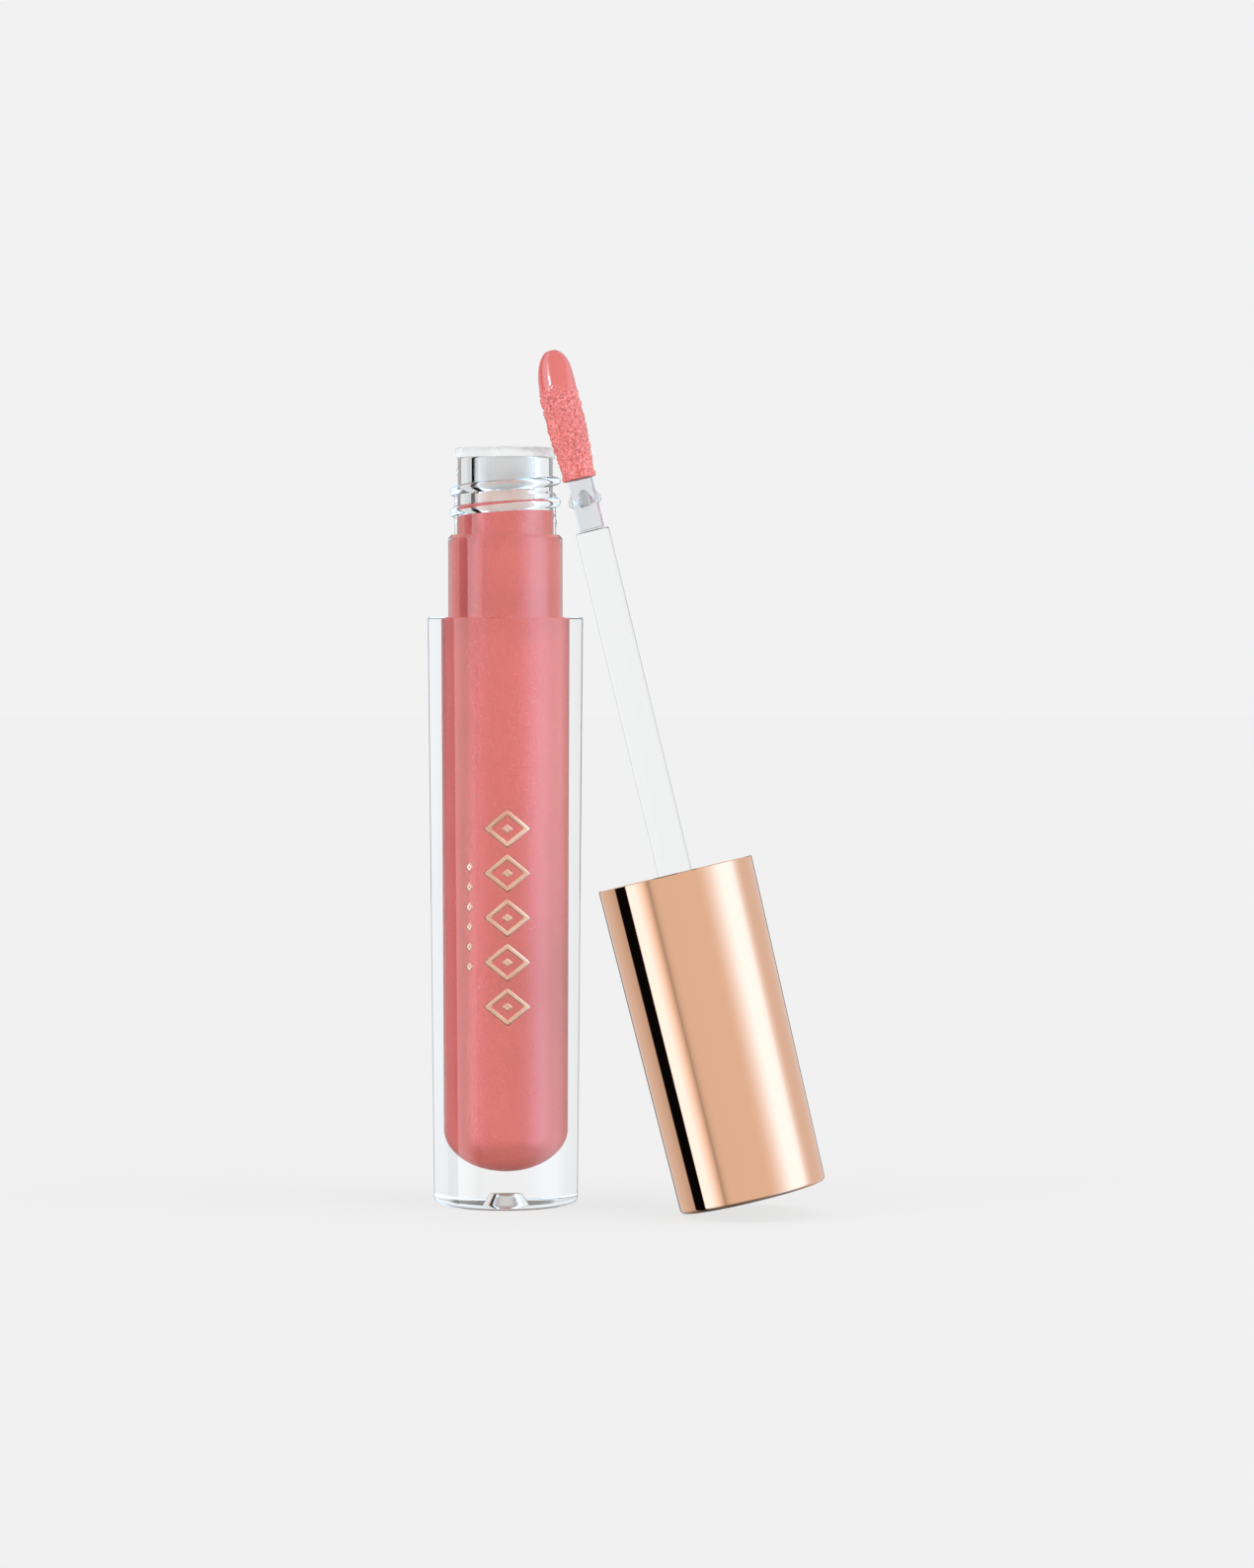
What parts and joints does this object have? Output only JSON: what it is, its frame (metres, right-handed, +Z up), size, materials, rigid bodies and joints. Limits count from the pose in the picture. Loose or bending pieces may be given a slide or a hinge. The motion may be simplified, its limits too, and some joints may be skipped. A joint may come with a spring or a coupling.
{
  "type": "lip gloss tube",
  "caption": "Open lip gloss tube: a clear thick-walled bottle of gloss with a threaded neck, and its screw-cap applicator with a clear rod and flocked tip leaning beside it.",
  "frame": {"origin": "centre of the bottle's underside, on the surface that it stands on", "axes": "+Z up the bottle's axis, +X from the bottle towards the applicator, -Y towards the viewer of the front"},
  "size_m": [0.0469, 0.0283, 0.1014],
  "materials": {
    "clear_bottle": "clear polished thick-walled PETG",
    "wiper_plastic": "frosted translucent polyethylene",
    "gloss": "wet coral-pink gloss with a fine pearl",
    "label": "dark plum printed film",
    "seal_foam": "white foamed polyethylene",
    "inner_plastic": "natural white polypropylene",
    "rose_gold": "polished rose-gold anodised aluminium",
    "clear_rod": "clear polished plastic rod",
    "core_plastic": "translucent moulded plastic",
    "flock": "short nylon flock wet with gloss"
  },
  "bodies": {
    "bottle": {"bottle": "clear_bottle", "wiper": "wiper_plastic", "gloss_fill": "gloss", "base_label": "label"},
    "seal": {"seal_ring": "seal_foam"},
    "applicator": {"inner_cap": "inner_plastic", "cap_shell": "rose_gold", "wand_rod": "clear_rod", "tip_core": "core_plastic", "tip_flock": "flock"}
  },
  "joints": [
    {"name": "applicator_lift", "type": "slide", "parent": "bottle", "child": "seal", "axis": [0, 0, 1], "range_m": [0, 0.1]},
    {"name": "cap_turn", "type": "hinge", "parent": "seal", "child": "applicator", "pos_m": [0.02015, -0.0082, 0.03985], "axis": [-0.2348, 0.0558, 0.9704], "continuous": true}
  ]
}
